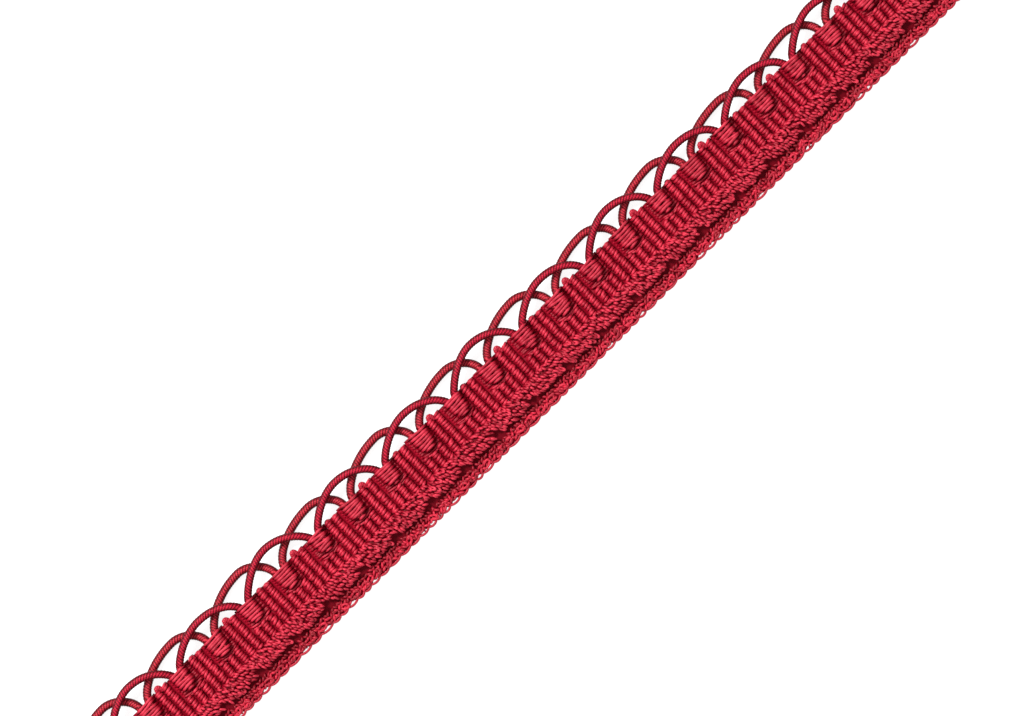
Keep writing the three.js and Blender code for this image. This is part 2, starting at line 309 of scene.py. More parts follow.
def edge_notch(x):
    """1 at the notch between two lumps of the scalloped edge, fading to 0 away from it."""
    return np.exp(-(from_turn(x - NOTCH_FROM_TURN) / NOTCH_SPREAD) ** 2)


def lip_reach(x):
    """How far from the loops' edge the lip of the scalloped edge lies."""
    return LIP_REACH - NOTCH_DEPTH * edge_notch(x)


def edge_swell(x, y):
    """How far the scalloped edge swells: 0 at its borders, 1 along the middle of a lump."""
    start = BAND_WIDTH - SWELL_OVERLAP
    across = np.clip((-start - y) / (lip_reach(x) - start), 0, 1)
    rounded = np.sin(math.pi * across ** SWELL_SKEW) ** SWELL_FULLNESS
    return rounded * (1 - NOTCH_SINK * edge_notch(x) * across)


def ground_top(x, y):
    """The height of the cloth's upper face: ribs and pockets, then the edge, then the flange."""
    pocket = in_pocket(x, y)
    ribbed = (VALLEY_Z + (CREST_Z - VALLEY_Z) * rib_crest(x)) * (1 - pocket) + POCKET_Z * pocket
    edge = EDGE_FOOT_Z + EDGE_SWELL_RISE * edge_swell(x, y)
    height = np.where(y > -BAND_WIDTH, ribbed, edge)
    return np.where(y < LIP_TUCK - lip_reach(x), FLANGE_Z, height)


def ground_tint_and_shade(x, y):
    """Painted shade: darker in the rib valleys, under the scalloped edge and in each pocket, most
    right of its turn.
    """
    sunk = in_pocket(x, y)
    painted_valley_shade = PAINTED_VALLEY_SHADE * (1 - rib_crest(x)) * (1 - sunk)
    shade = np.where(y > -BAND_WIDTH, painted_valley_shade, PAINTED_EDGE_SHADE) * (y > GROOVE_Y)
    painted_pocket_shade = np.where(from_turn(x) < 0, PAINTED_POCKET_SHADE_LEFT, PAINTED_POCKET_SHADE_RIGHT)
    return GROUND_TINT - shade - painted_pocket_shade * sunk


columns = np.linspace(-LENGTH / 2, LENGTH / 2, round(LENGTH / RIB_PITCH) * COLUMNS_PER_RIB + 1)
rows = np.linspace(0, -1, GROUND_ROWS)
grid_x, grid_y = np.meshgrid(columns, rows, indexing="ij")
grid_y *= GROUND_REACH - slits(grid_x)
top = np.stack([grid_x, grid_y, ground_top(grid_x, grid_y)], -1)
under = np.stack([grid_x, grid_y, UNDERSIDE_RELIEF * (1 - rib_crest(grid_x))], -1)
index = np.arange(grid_x.size).reshape(grid_x.shape)
tops = np.stack([index[:-1, 1:], index[1:, 1:], index[1:, :-1], index[:-1, :-1]], -1).reshape(-1, 4)
rim = np.concatenate([index[:, 0], index[-1, 1:], index[-2::-1, -1], index[0, -2:0:-1]])
rim_next = np.roll(rim, -1)
walls = np.stack([rim, rim_next, rim_next + grid_x.size, rim + grid_x.size], -1)
ground_points = np.concatenate([top.reshape(-1, 3), under.reshape(-1, 3)])
ground_faces = np.concatenate([tops, tops[:, ::-1] + grid_x.size, walls])
ground_dye_and_shading = dyed_and_shaded_thread("ground_dye_and_shading", GROUND_DEEP, GROUND_BRIGHT, ply_pitch=0.5, shine=0.05)
ground = make_piece("ground_cloth", ground_points, ground_faces,
                    ground_points[ground_faces][:, :, [1, 0]],
                    ground_tint_and_shade(ground_points[:, 0], ground_points[:, 1]),
                    ground_dye_and_shading, ["ribbed_band", "scalloped_edge", "sewing_flange"])

# The rib floats: the warp, shiny crimson rayon, passes over each thick weft in short slanted
# floats, half a step apart from one rib to the next, and dives between them. Under each cord turn
# the floats stop short, where the pocket is.
THREAD_SIDES = 6
FLOAT_PITCH = 0.52
FLOAT_STEPS = 9
FLOAT_HALF_LENGTH = 0.66
FLOAT_SLANT = 0.17
FLOAT_CREST = 1.86
FLOAT_FOOT = 0.9
FLOAT_FULLNESS = 0.8
FLOAT_WIDE = 0.265
FLOAT_TALL = 0.17
FLOAT_END_SHARE = 0.65
FIRST_FLOAT_Y = -0.12
POCKET_MARGIN = 0.15
LAST_RIB_IN_POCKET = 1
BAND_TOP_Y = 0.08
FLOAT_PLACE_NOISE = 0.045
FLOAT_SLANT_NOISE = 0.1
FLOAT_CREST_NOISE = 0.05
FLOAT_TINTS = (0.15, 0.75)
FLOAT_END_PAINTED_SHADE = 0.55
CRIMSON_DEEP = (0.26, 0.001, 0.012)
CRIMSON_BRIGHT = (0.6, 0.024, 0.054)


def bowed(steps, fullness):
    """How high a float stands along its length: 0 where its ends dive and 1 in the middle."""
    return np.sin(math.pi * np.linspace(0, 1, steps)).clip(0, 1) ** fullness


def tapered(bow, end_share):
    """How thick a float is along its length, as a share of its middle."""
    return (end_share + (1 - end_share) * bow)[None, :, None]


def lay_threads(name, paths, wide, tall, tint_and_shading, dye_and_shading, node, sides=THREAD_SIDES):
    """Round threads along paths (how many, points on each, 3), as one piece, with closed ends.

    A thread has an even number of sides, so that each end closes with four-sided faces.
    """
    paths = np.asarray(paths, float)
    number, steps, _ = paths.shape
    along = np.gradient(paths, axis=1)
    along /= np.linalg.norm(along, axis=2, keepdims=True)
    across = np.cross([0.0, 0.0, 1.0], along)
    across /= np.linalg.norm(across, axis=2, keepdims=True)
    over = np.cross(along, across)
    angle = 2 * math.pi * (np.arange(sides) + 0.5) / sides
    wide = np.broadcast_to(wide, (number, steps, sides))[..., None]
    tall = np.broadcast_to(tall, (number, steps, sides))[..., None]
    ring = (wide * np.cos(angle)[:, None] * across[:, :, None]
            + tall * np.sin(angle)[:, None] * over[:, :, None])
    points = (paths[:, :, None] + ring).reshape(-1, 3)
    index = np.arange(number * steps * sides).reshape(number, steps, sides)
    turned = np.roll(index, -1, axis=2)
    walls = np.stack([index[:, :-1], turned[:, :-1], turned[:, 1:], index[:, 1:]], -1).reshape(-1, 4)
    step_lengths = np.linalg.norm(np.diff(paths, axis=1, prepend=paths[:, :1]), axis=2)
    length = np.cumsum(step_lengths, axis=1)
    near = np.broadcast_to(length[:, :-1, None], (number, steps - 1, sides))
    far = np.broadcast_to(length[:, 1:, None], (number, steps - 1, sides))
    low = np.broadcast_to(np.arange(sides) / sides, near.shape)
    high = low + 1 / sides
    wall_uv = np.stack([near, low, near, high, far, high, far, low], -1).reshape(-1, 4, 2)
    ends = []
    for corner in range(1, sides - 2, 2):
        order = [0, corner, corner + 1, corner + 2]
        ends.append(index[:, 0][:, order[::-1]])
        ends.append(index[:, -1][:, order])
    faces = np.concatenate([walls, *ends])
    face_uv = np.concatenate([wall_uv, np.zeros((len(faces) - len(walls), 4, 2))])
    point_tint = np.broadcast_to(tint_and_shading, (number, steps, sides))
    return make_piece(name, points, faces, face_uv, point_tint, dye_and_shading, [node])


float_starts = []
for turn_index in range(-1, TURN_COUNT):
    for place in range(-1, RIBS_PER_TURN - 1):
        rib_x = turn_x(turn_index) + RIB_OFFSET + place * RIB_PITCH
        if abs(rib_x) > LENGTH / 2 + RIB_PITCH / 2:
            continue
        under_turn = place <= LAST_RIB_IN_POCKET
        start_y = -POCKET_LENGTH - POCKET_MARGIN if under_turn else FIRST_FLOAT_Y
        half_step = FLOAT_PITCH / 2 * ((turn_index + place) % 2)
        for y in np.arange(start_y - half_step, -BAND_WIDTH, -FLOAT_PITCH):
            float_starts.append((rib_x, y))
float_starts = np.array(float_starts)
float_count = len(float_starts)
float_starts += chance.normal(0, FLOAT_PLACE_NOISE, float_starts.shape)
slant = FLOAT_SLANT + chance.normal(0, FLOAT_SLANT_NOISE, float_count)
crest = FLOAT_CREST + chance.normal(0, FLOAT_CREST_NOISE, float_count)
float_along = np.linspace(-1, 1, FLOAT_STEPS)
float_bow = bowed(FLOAT_STEPS, FLOAT_FULLNESS)
float_paths = np.empty((float_count, FLOAT_STEPS, 3))
float_paths[:, :, 0] = float_starts[:, :1] + FLOAT_HALF_LENGTH * float_along
float_paths[:, :, 1] = (float_starts[:, 1:] + slant[:, None] * float_along).clip(max=BAND_TOP_Y)
float_paths[:, :, 2] = FLOAT_FOOT + (crest[:, None] - FLOAT_FOOT) * float_bow
float_taper = tapered(float_bow, FLOAT_END_SHARE)
# Each float takes a random tone, with painted shade towards its ends where it dives into the valleys.
float_tint_and_shade = chance.uniform(*FLOAT_TINTS, (float_count, 1)) - FLOAT_END_PAINTED_SHADE * (1 - float_bow)
band_dye_and_shading = dyed_and_shaded_thread("band_dye_and_shading", CRIMSON_DEEP, CRIMSON_BRIGHT)
rib_floats = lay_threads("rib_floats", float_paths, FLOAT_WIDE * float_taper, FLOAT_TALL * float_taper,
                         float_tint_and_shade[..., None], band_dye_and_shading, "ribbed_band")

# The weft turns: each thick weft turns back at the loops' edge of the band and shows there as a
# small round bump of wound thread, the largest one just to the right of a back turn.
WEFT_STEPS = 31
WEFT_WINDINGS = 6
WEFT_SIDES = 8
WEFT_FOOT_Y = -0.6
WEFT_Z = 1.05
WEFT_LIFT = 0.4
WEFT_PLACE_NOISE = 0.06
WEFT_RISE_SHARES = (0.8, 1)
WEFT_END_MARGIN = 0.8
WEFT_WINDING_SHARES = (0.85, 1.05)
WEFT_RIDGE_PAINTED_LIGHT = 0.7
WEFT_PAINTED_SHADE = 0.15
FRONT_WEFT = {"from_turn": 3.1, "rise": 0.4, "half_width": 0.36, "radius": 0.27}
BACK_WEFT = {"from_turn": 3.45, "rise": 1.0, "half_width": 0.38, "radius": 0.4}
SECOND_WEFT = {"from_turn": 4.6, "rise": 0.12, "half_width": 0.36, "radius": 0.27}
weft_paths = []
weft_sizes = []
half_turn = np.linspace(0, math.pi, WEFT_STEPS)
for turn_index in range(-1, TURN_COUNT):
    for weft in (FRONT_WEFT if turn_index % 2 == 0 else BACK_WEFT, SECOND_WEFT):
        weft_x = turn_x(turn_index) + weft["from_turn"] + chance.normal(0, WEFT_PLACE_NOISE)
        if abs(weft_x) > LENGTH / 2 - WEFT_END_MARGIN:
            continue
        peak = weft["rise"] * chance.uniform(*WEFT_RISE_SHARES) - weft["radius"]
        weft_paths.append(np.stack([weft_x - weft["half_width"] * np.cos(half_turn),
                                    WEFT_FOOT_Y + (peak - WEFT_FOOT_Y) * np.sin(half_turn) ** 0.5,
                                    WEFT_Z + WEFT_LIFT * np.sin(half_turn)], -1))
        weft_sizes.append(weft["radius"])
weft_winding = (WEFT_WINDINGS * np.linspace(0, 1, WEFT_STEPS)[:, None]
                - np.arange(WEFT_SIDES) / WEFT_SIDES)
weft_ridge = np.abs(np.cos(math.pi * weft_winding))
weft_low, weft_high = WEFT_WINDING_SHARES
weft_radii = np.array(weft_sizes)[:, None, None] * (weft_low + (weft_high - weft_low) * weft_ridge)
# Painted light: the windings get a painted highlight on their ridges and painted shade in the grooves
# between them.
weft_turns = lay_threads("weft_turns", weft_paths, weft_radii, weft_radii,
                         WEFT_RIDGE_PAINTED_LIGHT * weft_ridge - WEFT_PAINTED_SHADE, band_dye_and_shading,
                         "ribbed_band", WEFT_SIDES)

# The loop cords: two gimp cords, each a soft core wound round and round with fine thread. Each
# goes down a pocket and back, rises in an arc beyond the band's edge, and comes down to its next
# pocket. The front cord's arcs pass over; the back cord's lean right and pass under.
CORD_FLOOR = 0.7
GAP = 0.3
LEG_OVERHANG = 0.2
LEG_BEND = 0.5
LEGS_CLOSED = 1.0
CURVE_POINTS = 60
CORDS_PAST_END = 1.5
CORD_SIDES = 16
WINDING_PITCH = 0.5
RINGS_PER_WINDING = 6
WINDING_STARTS = 5
WINDING_RELIEF = 0.13
WINDING_LEVEL = 0.85
WINDING_FULLNESS = 0.8
PAINTED_DASH_BRIGHTNESS = 1.5
PAINTED_DASH_SHARPNESS = 2.2
CORD_LIT_TOP_STEEPNESS = 3
CORD_LIT_TOP_START = 1.9
CORD_PAINTED_SHADE = 0.48
CORD_MOTTLE = 0.14
CORD_SHINE = 0.08
CORD_PLY_DEPTH = 0.01
FRONT_DEEP = (0.085, 0.0005, 0.004)
FRONT_BRIGHT = (0.55, 0.017, 0.045)
BACK_DEEP = (0.09, 0.001, 0.004)
BACK_BRIGHT = (0.55, 0.029, 0.048)
# Each pair is a turn's step off its place and how far the arc that leaves it rises over the usual.
FRONT_TURNS = [(0, 0), (0, 0.15), (-0.25, -0.3), (-0.2, 0.4), (0.2, 0), (0.05, -0.05), (0.25, 0.3),
               (0.25, -0.2), (0, 0.15), (0, -0.35), (-0.15, -0.2), (-0.3, 0.1), (-0.25, 0), (0, 0),
               (0, 0)]
BACK_TURNS = [(0, 0.4), (0.1, 0), (-0.15, 0.4), (-0.1, -0.05), (-0.05, 0.25), (0.1, -0.05),
              (0.05, 0.2), (0.1, -0.2), (-0.1, -0.1), (-0.05, -0.5), (-0.2, -0.2), (-0.35, 0),
              (0, 0), (0, 0)]
FRONT_CORD = {
    "turns": FRONT_TURNS, "first_turn": -2, "diameter": 1.36, "turn_radius": 0.72,
    "turn_depth": 2.85, "rise": 3.7, "crest_at": 0.53, "crest_z": 2.5,
    "leaving": {"from_turn": 1.02, "step": 1.2, "rise": 1.5, "z": 2.95, "crest_handle": 3.0},
    "arriving": {"from_turn": 1.02, "step": 0.8, "rise": 1.9, "z": 2.95, "crest_handle": 3.4},
}
BACK_CORD = {
    "turns": BACK_TURNS, "first_turn": -1, "diameter": 1.45, "turn_radius": 0.77,
    "turn_depth": 2.95, "rise": 4.0, "crest_at": 0.67, "crest_z": 0.76,
    "leaving": {"from_turn": 1.15, "step": 0.9, "rise": 1.9, "z": 0.5, "crest_handle": 4.8},
    "arriving": {"from_turn": 0.85, "step": 0.2, "rise": 2.2, "z": 0.5, "crest_handle": 2.2},
}


def bezier(start, first, second, end):
    t = np.linspace(0, 1, CURVE_POINTS)[:, None]
    return ((1 - t) ** 3 * np.array(start) + 3 * (1 - t) ** 2 * t * np.array(first)
            + 3 * (1 - t) * t ** 2 * np.array(second) + t ** 3 * np.array(end))


def turn_places(cord):
    """Where a cord turns: in every second pocket, a little off its middle."""
    return [turn_x(cord["first_turn"] + 2 * i) + shift for i, (shift, _) in enumerate(cord["turns"])]


def turn_height(cord):
    return CORD_FLOOR + GAP + cord["diameter"] / 2


def arc(cord, start, end, lift):
    """From the edge of one pocket up to the arc's crest and down to the edge of the next."""
    leaving, arriving = cord["leaving"], cord["arriving"]
    rise, crest_z = cord["rise"] + lift, cord["crest_z"]
    crest_x = start[0] + (end[0] - start[0]) * cord["crest_at"]
    up = bezier(start, (start[0] + leaving["step"], leaving["rise"], leaving["z"]),
                (crest_x - leaving["crest_handle"], rise, crest_z), (crest_x, rise, crest_z))
    down = bezier((crest_x, rise, crest_z), (crest_x + arriving["crest_handle"], rise, crest_z),
                  (end[0] - arriving["step"], arriving["rise"], arriving["z"]), end)
    return [up, down]


def leg(cord, edge, handle, side, place):
    """One leg, level in its pocket, from the band's edge down to the round turn."""
    onward = np.array([side * handle["step"], handle["rise"] - edge[1]])
    onward /= np.linalg.norm(onward)
    closed_x = place + side * cord["turn_radius"]
    return bezier(edge, (edge[0] - LEG_BEND * onward[0], edge[1] - LEG_BEND * onward[1], edge[2]),
                  (closed_x, -LEGS_CLOSED, edge[2]),
                  (closed_x, cord["turn_radius"] - cord["turn_depth"], edge[2]))


def cord_route(cord):
    """The cord's middle line, in even steps, from past one end of the strip to past the other."""
    places = turn_places(cord)
    z = turn_height(cord)
    radius = cord["turn_radius"]
    parts = []
    for i in range(len(places) - 1):
        start = (places[i] + cord["leaving"]["from_turn"], LEG_OVERHANG, z)
        end = (places[i + 1] - cord["arriving"]["from_turn"], LEG_OVERHANG, z)
        next_start = (places[i + 1] + cord["leaving"]["from_turn"], LEG_OVERHANG, z)
        parts += arc(cord, start, end, cord["turns"][i][1])
        parts.append(leg(cord, end, cord["arriving"], -1, places[i + 1]))
        angle = np.linspace(math.pi, 2 * math.pi, CURVE_POINTS)
        parts.append(np.stack([places[i + 1] + radius * np.cos(angle),
                               radius - cord["turn_depth"] + radius * np.sin(angle),
                               np.full(CURVE_POINTS, z)], -1))
        parts.append(leg(cord, next_start, cord["leaving"], 1, places[i + 1])[::-1])
    route = np.concatenate(parts)
    length = np.concatenate([[0], np.cumsum(np.linalg.norm(np.diff(route, axis=0), axis=1))])
    distinct = np.concatenate([[True], np.diff(length) > 1e-6])
    even = np.arange(0, length[-1], WINDING_PITCH / RINGS_PER_WINDING)
    route = np.stack([np.interp(even, length[distinct], route[distinct, axis])
                      for axis in range(3)], -1)
    return route[np.abs(route[:, 0]) < LENGTH / 2 + CORDS_PAST_END]


def wrapped_cord(name, cord, route, dye_and_shading, node):
    """A cord with its windings as low relief, with short painted highlights on them along its top and
    painted shade down its sides.
    """
    angle = (np.arange(CORD_SIDES) + 0.5) / CORD_SIDES
    winding = np.arange(len(route))[:, None] / RINGS_PER_WINDING + WINDING_STARTS * angle
    ridge = np.abs(np.cos(math.pi * winding)) ** WINDING_FULLNESS
    radius = cord["diameter"] / 2 + WINDING_RELIEF * (ridge - WINDING_LEVEL)
    # Painted light: only the top of the cord gets bright marks on its windings; its sides are left
    # dark as painted shade.
    lit_top = (CORD_LIT_TOP_STEEPNESS * np.sin(2 * math.pi * angle) - CORD_LIT_TOP_START).clip(0, 1)
    dashes = PAINTED_DASH_BRIGHTNESS * ridge ** PAINTED_DASH_SHARPNESS * lit_top
    tint_and_shading = dashes - CORD_PAINTED_SHADE + chance.normal(0, CORD_MOTTLE, ridge.shape)
    return lay_threads(name, route[None], radius[None], radius[None], tint_and_shading[None], dye_and_shading, node,
                       CORD_SIDES)


front_route = cord_route(FRONT_CORD)
back_route = cord_route(BACK_CORD)
front_dye_and_shading = dyed_and_shaded_thread("front_cord_dye_and_shading", FRONT_DEEP, FRONT_BRIGHT, ply_depth=CORD_PLY_DEPTH,
                        shine=CORD_SHINE)
back_dye_and_shading = dyed_and_shaded_thread("back_cord_dye_and_shading", BACK_DEEP, BACK_BRIGHT, ply_depth=CORD_PLY_DEPTH,
                       shine=CORD_SHINE)
wrapped_cord("front_loop_cord", FRONT_CORD, front_route, front_dye_and_shading,
             "loop_cord_front")
wrapped_cord("back_loop_cord", BACK_CORD, back_route, back_dye_and_shading,
             "loop_cord_back")

# The turn bindings: where a cord turns, every other warp thread passes over both of its legs and
# ties them down, and the rest pass under, so the turn shows as a small barred knob in its pocket.
# Just below the knob a few warp threads sag across the pocket's end.
BAR_COUNT = 7
BAR_FIRST = -0.16
BAR_PITCH = 0.54
BAR_WIDE = 0.25
BAR_TALL = 0.15
BAR_SEAT = 0.6
BAR_REACH = 2.5
BAR_END_AT = 2.0
BAR_END_DIP = 0.5
BAR_STEPS = 41
BAR_BEND_REACH = 1.5
BAR_BOW = 0.02
BAR_PLACE_NOISE = 0.045
BAR_TILT_NOISE = 0.07
BAR_BOW_NOISE = 0.03
BAR_TINTS = (0.1, 0.65)
BAR_PAINTED_SHADE_LEFT = 1.0
BAR_PAINTED_SHADE_RIGHT = 1.25
LEG_TOP_MARGIN = 0.1
SLOPE_BETWEEN_LEGS = 0.25
SLOPE_BESIDE_LEGS = 3.0
UNDER_EVERY = 3
POCKET_THREAD_Z = 0.88
UNDER_DROP = 0.1
UNDER_TINT_LEFT = 0.5
UNDER_PAINTED_SHADOW_RIGHT = 0.0
SAG_STEPS = 15
SAG_ROWS = (-3.78, -4.2)
SAG_REACH_LEFT = (1.4, 2.3)
SAG_REACH_RIGHT = (1.2, 2.2)
SAG_DEPTH = 0.3
SAG_Z = 1.3
SAG_MIDDLE_DIP = 0.15
SAG_END_DIP = 0.4
SAG_NOISE = 0.06
SAG_WIDE = 0.2
SAG_TALL = 0.15
SAG_TINTS = (-0.1, 0.6)
bar_paths = []
bar_tints_and_shade = []
under_paths = []
under_tints_and_shadow = []
sag_paths = []


def cord_top(cord, route, bar_x, y):
    """The height of the cord's top along a line across its pocket, or of the floor beside it."""
    radius = cord["diameter"] / 2
    near = route[np.abs(route[:, 1] - y) < radius]
    aside = np.hypot(bar_x[:, None] - near[:, 0], y - near[:, 1]).min(axis=1)
    top = turn_height(cord) + np.sqrt(np.clip(radius ** 2 - aside ** 2, 0, None))
    return np.where(aside < radius, top, POCKET_THREAD_Z)


def stretched_over(top, bar_x):
    """A thread drawn tight over the cord: nearly straight between the legs and steep beside them."""
    high = bar_x[top > top.max() - LEG_TOP_MARGIN]
    between = (bar_x > high.min()) & (bar_x < high.max())
    slope = np.where(between, SLOPE_BETWEEN_LEGS, SLOPE_BESIDE_LEGS)[:, None]
    return (top - slope * np.abs(bar_x[:, None] - bar_x)).max(axis=1)


for cord, route in ((FRONT_CORD, front_route), (BACK_CORD, back_route)):
    for i, place in enumerate(turn_places(cord)):
        home = turn_x(cord["first_turn"] + 2 * i)
        if abs(home) > LENGTH / 2:
            continue
        bar_x = np.linspace(home - BAR_REACH, home + BAR_REACH, BAR_STEPS)
        aside = (bar_x - place).clip(-BAR_BEND_REACH, BAR_BEND_REACH)
        # Painted shade: each bar is painted darker where it drops off the cord's legs, more on the
        # right of the turn.
        painted_side_shade = np.where(bar_x > place, BAR_PAINTED_SHADE_RIGHT, BAR_PAINTED_SHADE_LEFT)
        under_x = bar_x[::UNDER_EVERY]
        under_z = np.full(len(under_x), POCKET_THREAD_Z - UNDER_DROP)
        for bar in range(BAR_COUNT):
            y = BAR_FIRST - bar * BAR_PITCH + chance.normal(0, BAR_PLACE_NOISE)
            height = stretched_over(cord_top(cord, route, bar_x, y), bar_x)
            proud = (height - POCKET_THREAD_Z) / (height.max() - POCKET_THREAD_Z + 0.01)
            height -= BAR_END_DIP * (np.abs(bar_x - home) > BAR_END_AT)
            tilt = chance.normal(0, BAR_TILT_NOISE)
            bow = chance.normal(BAR_BOW, BAR_BOW_NOISE)
            bar_y = (y + tilt * aside + bow * aside ** 2).clip(max=BAND_TOP_Y)
            bar_paths.append(np.stack([bar_x, bar_y, height + BAR_SEAT * BAR_TALL], -1))
            bar_tints_and_shade.append(chance.uniform(*BAR_TINTS) - painted_side_shade * (1 - proud))
            under_y = np.full(len(under_x), y - BAR_PITCH / 2)
            under_paths.append(np.stack([under_x, under_y, under_z], -1))
            # Painted shadow: the threads under the pocket are painted darker right of the turn.
            under_tints_and_shadow.append(np.where(under_x > place, UNDER_PAINTED_SHADOW_RIGHT, UNDER_TINT_LEFT))
        for sag_y in SAG_ROWS:
            sag_x = np.linspace(home - chance.uniform(*SAG_REACH_LEFT),
                                home + chance.uniform(*SAG_REACH_RIGHT), SAG_STEPS)
            sunk = np.sin(math.pi * np.linspace(0, 1, SAG_STEPS))
            thread_y = sag_y + chance.normal(0, SAG_NOISE) - SAG_DEPTH * sunk
            thread_z = (SAG_Z - SAG_MIDDLE_DIP * sunk + chance.normal(0, SAG_NOISE)
                        - SAG_END_DIP * (1 - sunk) ** 4)
            sag_paths.append(np.stack([sag_x, thread_y, thread_z], -1))
turn_bindings = lay_threads("turn_bindings", bar_paths, BAR_WIDE, BAR_TALL,
                            np.array(bar_tints_and_shade)[..., None], band_dye_and_shading,
                            "ribbed_band")
pocket_threads = lay_threads("pocket_threads", under_paths, BAR_WIDE, BAR_TALL,
                             np.array(under_tints_and_shadow)[..., None], ground_dye_and_shading,
                             "ribbed_band")
sagging_threads = lay_threads("sagging_threads", sag_paths, SAG_WIDE, SAG_TALL,
                              chance.uniform(*SAG_TINTS, (len(sag_paths), 1, 1)), band_dye_and_shading,
                              "ribbed_band")

# The scalloped edge: the wefts turn back here in fat bundles, and short floats lie over them in
# slanting clusters, steep at the left of each lump and flatter towards its right. Some are the
# hairpin turns of a weft. The lumps are parted by dark notches.
EDGE_ROWS = [
    {"from_y": -7.0, "sag": 0.1, "margin": 0.0, "shift": 0.1},
    {"from_y": -7.75, "sag": 0.2, "margin": 0.0, "shift": 0.3},
    {"from_y": -8.5, "sag": 0.35, "margin": 0.1, "shift": 0.15},
    {"from_y": -9.1, "sag": 0.45, "margin": 0.8, "shift": 0.3},
]
EDGE_STEPS = 10
EDGE_FLOAT_PITCH = 0.54
EDGE_DROP = 0.95
EDGE_DROP_SHARES = (0.75, 1.25)
EDGE_STEEPEST = 66
EDGE_FLATTENING = 28
EDGE_WIDE = 0.23
EDGE_TALL = 0.19
EDGE_END_SHARE = 0.7
EDGE_FULLNESS = 0.6
EDGE_BED_SINK = 0.2
EDGE_BED_RISE = 0.75
EDGE_FLOAT_RISE = 0.4
HAIRPIN_SHARE = 0.15
HAIRPIN_HALF_WIDTH = 0.23
BUNDLE_PITCH = 1.9
BUNDLE_SHIFT = 0.75
BUNDLE_RISE = 0.35
BUNDLE_PAINTED_LIGHT = 0.5
EDGE_ANGLE_NOISE = 11
EDGE_ROW_NOISE = 0.12
EDGE_PLACE_NOISE = 0.08
EDGE_HEIGHT_NOISE = 0.1
EDGE_TINTS = (-0.15, 0.5)
EDGE_END_PAINTED_SHADE = 0.8
edge_paths = []
edge_tints_and_shading = []
edge_along = np.linspace(0, 1, EDGE_STEPS)
hump = bowed(EDGE_STEPS, EDGE_FULLNESS)
for turn_index in range(-2, TURN_COUNT + 1):
    notch_x = turn_x(turn_index) + NOTCH_FROM_TURN
    for row_index, row in enumerate(EDGE_ROWS):
        first = row["margin"] + row["shift"]
        for from_notch in np.arange(first, TURN_PITCH - row["margin"], EDGE_FLOAT_PITCH):
            from_middle = 2 * from_notch / TURN_PITCH - 1
            bundle = math.sin(math.pi * (from_notch - BUNDLE_SHIFT * row_index) / BUNDLE_PITCH) ** 2
            angle = math.radians(EDGE_STEEPEST - EDGE_FLATTENING * from_notch / TURN_PITCH
                                 + chance.normal(0, EDGE_ANGLE_NOISE))
            drop = EDGE_DROP * chance.uniform(*EDGE_DROP_SHARES)
            is_hairpin = chance.uniform() < HAIRPIN_SHARE
            onward = drop * (hump if is_hairpin else edge_along)
            aside = -HAIRPIN_HALF_WIDTH * np.cos(math.pi * edge_along) * is_hairpin
            row_y = (row["from_y"] - row["sag"] * (1 - from_middle ** 2)
                     + chance.normal(0, EDGE_ROW_NOISE))
            x = (notch_x + from_notch + chance.normal(0, EDGE_PLACE_NOISE)
                 + (onward - drop / 2) * math.cos(angle) + aside * math.sin(angle))
            y = row_y - onward * math.sin(angle) + aside * math.cos(angle)
            bed = EDGE_FOOT_Z - EDGE_BED_SINK + EDGE_BED_RISE * edge_swell(x, y)
            z = (bed + EDGE_FLOAT_RISE * hump + BUNDLE_RISE * bundle
                 + chance.normal(0, EDGE_HEIGHT_NOISE))
            if np.abs(x).min() < LENGTH / 2:
                edge_paths.append(np.stack([x, y, z], -1))
                # Random tone, painted lighter on the raised bundles and darker between them, with
                # painted shade at the ends where the floats dive.
                edge_tints_and_shading.append(chance.uniform(*EDGE_TINTS) + BUNDLE_PAINTED_LIGHT * bundle
                                  - EDGE_END_PAINTED_SHADE * (1 - hump))
edge_taper = tapered(bowed(EDGE_STEPS, 1), EDGE_END_SHARE)
edge_dye_and_shading = dyed_and_shaded_thread("edge_dye_and_shading", CRIMSON_DEEP, CRIMSON_BRIGHT)
edge_floats = lay_threads("edge_floats", edge_paths, EDGE_WIDE * edge_taper,
                          EDGE_TALL * edge_taper, np.array(edge_tints_and_shading)[..., None], edge_dye_and_shading,
                          "scalloped_edge")

# The sewing flange: a narrow knitted tape of the same thread. A row of chain stitches runs along
# it among short slanting floats, and a thicker thread at its outer edge bows out in shallow
# uneven loops, which leave small slits between it and the tape.
CHAIN_Y = -11.95
CHAIN_Z = 0.85
CHAIN_PITCH = 1.6 * RIB_PITCH
CHAIN_HALF_LENGTH = 0.85
CHAIN_HALF_HEIGHT = 0.42
CHAIN_LENGTH_SHARES = (0.7, 1.1)
CHAIN_TEARDROP = 0.25
CHAIN_TILT = 0.2
CHAIN_RISE = 0.14
CHAIN_CROSSING_RISE = 0.05
CHAIN_WIDE = 0.23
CHAIN_TALL = 0.2
CHAIN_STEPS = 18
CHAIN_X_NOISE = 0.25
CHAIN_Y_NOISE = 0.08
CHAIN_TILT_NOISE = 0.35
CHAIN_TINTS = (0, 0.8)
FLANGE_DEEP = (0.2, 0.001, 0.008)
FLANGE_BRIGHT = (0.56, 0.014, 0.04)
chain_paths = []
whole_turn = np.linspace(0, 2 * math.pi, CHAIN_STEPS)
chain_z = CHAIN_Z + CHAIN_RISE * np.cos(whole_turn) + CHAIN_CROSSING_RISE * np.sin(2 * whole_turn)
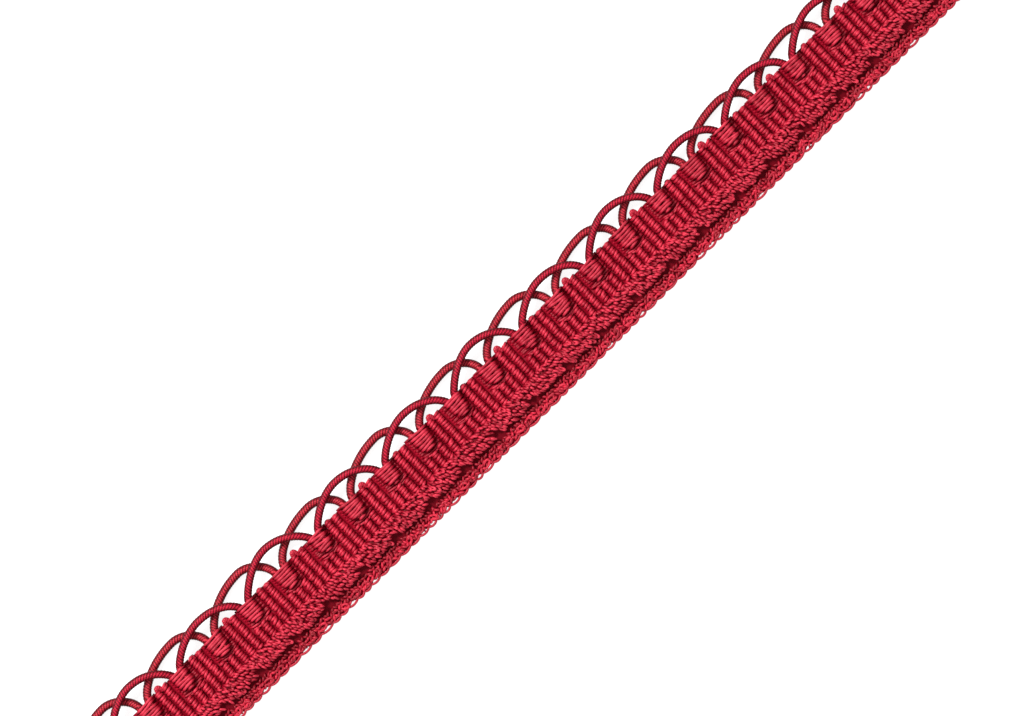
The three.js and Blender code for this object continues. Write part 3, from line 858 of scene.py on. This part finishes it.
for i in range(-1, round(LENGTH / CHAIN_PITCH) + 1):
    x = -LENGTH / 2 + (i + 0.5) * CHAIN_PITCH + chance.normal(0, CHAIN_X_NOISE)
    tilt = chance.normal(CHAIN_TILT, CHAIN_TILT_NOISE)
    stitch_x = CHAIN_HALF_LENGTH * chance.uniform(*CHAIN_LENGTH_SHARES) * np.cos(whole_turn)
    stitch_y = CHAIN_HALF_HEIGHT * np.sin(whole_turn) * (1 + CHAIN_TEARDROP * np.cos(whole_turn))
    y = CHAIN_Y + chance.normal(0, CHAIN_Y_NOISE)
    chain_paths.append(np.stack([x + stitch_x, y + stitch_y + tilt * stitch_x, chain_z], -1))
flange_dye_and_shading = dyed_and_shaded_thread("flange_dye_and_shading", FLANGE_DEEP, FLANGE_BRIGHT)
chain_stitches = lay_threads("chain_stitches", chain_paths, CHAIN_WIDE, CHAIN_TALL,
                             chance.uniform(*CHAIN_TINTS, (len(chain_paths), 1, 1)), flange_dye_and_shading,
                             "sewing_flange")

TAPE_FLOAT_ROWS = (-11.0, -11.55, -12.2)
TAPE_FLOAT_PITCH = 0.62
TAPE_STEPS = 7
TAPE_FULLNESS = 0.7
TAPE_ANGLES = (38, -42)
TAPE_HALF_LENGTHS = (0.38, 0.55)
TAPE_FOOT_Z = 0.6
TAPE_RISES = (0.2, 0.55)
TAPE_WIDE = 0.23
TAPE_TALL = 0.2
TAPE_END_SHARE = 0.65
TAPE_ANGLE_NOISE = 14
TAPE_X_NOISE = 0.1
TAPE_Y_NOISE = 0.08
TAPE_TINTS = (-0.1, 0.75)
GROOVE_ROW_PAINTED_SHADOW = 0.5
tape_paths = []
tape_along = np.linspace(-1, 1, TAPE_STEPS)
tape_bow = bowed(TAPE_STEPS, TAPE_FULLNESS)
for row_y in TAPE_FLOAT_ROWS:
    for x in np.arange(-LENGTH / 2, LENGTH / 2, TAPE_FLOAT_PITCH):
        angle = math.radians(chance.choice(TAPE_ANGLES) + chance.normal(0, TAPE_ANGLE_NOISE))
        onward = chance.uniform(*TAPE_HALF_LENGTHS) * tape_along
        tape_x = x + chance.normal(0, TAPE_X_NOISE) + onward * math.cos(angle)
        tape_y = row_y + chance.normal(0, TAPE_Y_NOISE) + onward * math.sin(angle)
        tape_z = TAPE_FOOT_Z + chance.uniform(*TAPE_RISES) * tape_bow
        tape_paths.append(np.stack([tape_x, tape_y, tape_z], -1))
tape_taper = tapered(tape_bow, TAPE_END_SHARE)
# Painted shadow: the row nearest the groove, under the scalloped edge's lip, is painted darker.
tape_tints_and_shadow = chance.uniform(*TAPE_TINTS, len(tape_paths))
tape_tints_and_shadow[:len(tape_paths) // len(TAPE_FLOAT_ROWS)] -= GROOVE_ROW_PAINTED_SHADOW
tape_floats = lay_threads("tape_floats", tape_paths, TAPE_WIDE * tape_taper, TAPE_TALL * tape_taper,
                          tape_tints_and_shadow[:, None, None], flange_dye_and_shading, "sewing_flange")

LOOP_STEP = 0.14
LOOP_PAST_END = 0.5
LOOP_Y = -12.55
LOOP_REACH = 0.42
LOOP_FULLNESS = 0.7
LOOP_Z = 0.6
LOOP_RISE = 0.1
LOOP_WIDE = 0.24
LOOP_TALL = 0.2
LOOP_TINT = 0.3
loop_x = np.arange(-LENGTH / 2 - LOOP_PAST_END, LENGTH / 2 + LOOP_PAST_END, LOOP_STEP)
bulge = edge_loop_bulge(loop_x) ** LOOP_FULLNESS
loop_line = np.stack([loop_x, LOOP_Y - LOOP_REACH * bulge, LOOP_Z + LOOP_RISE * bulge], -1)
edge_loops = lay_threads("flange_edge_loops", loop_line[None], LOOP_WIDE, LOOP_TALL, LOOP_TINT,
                         flange_dye_and_shading, "sewing_flange")
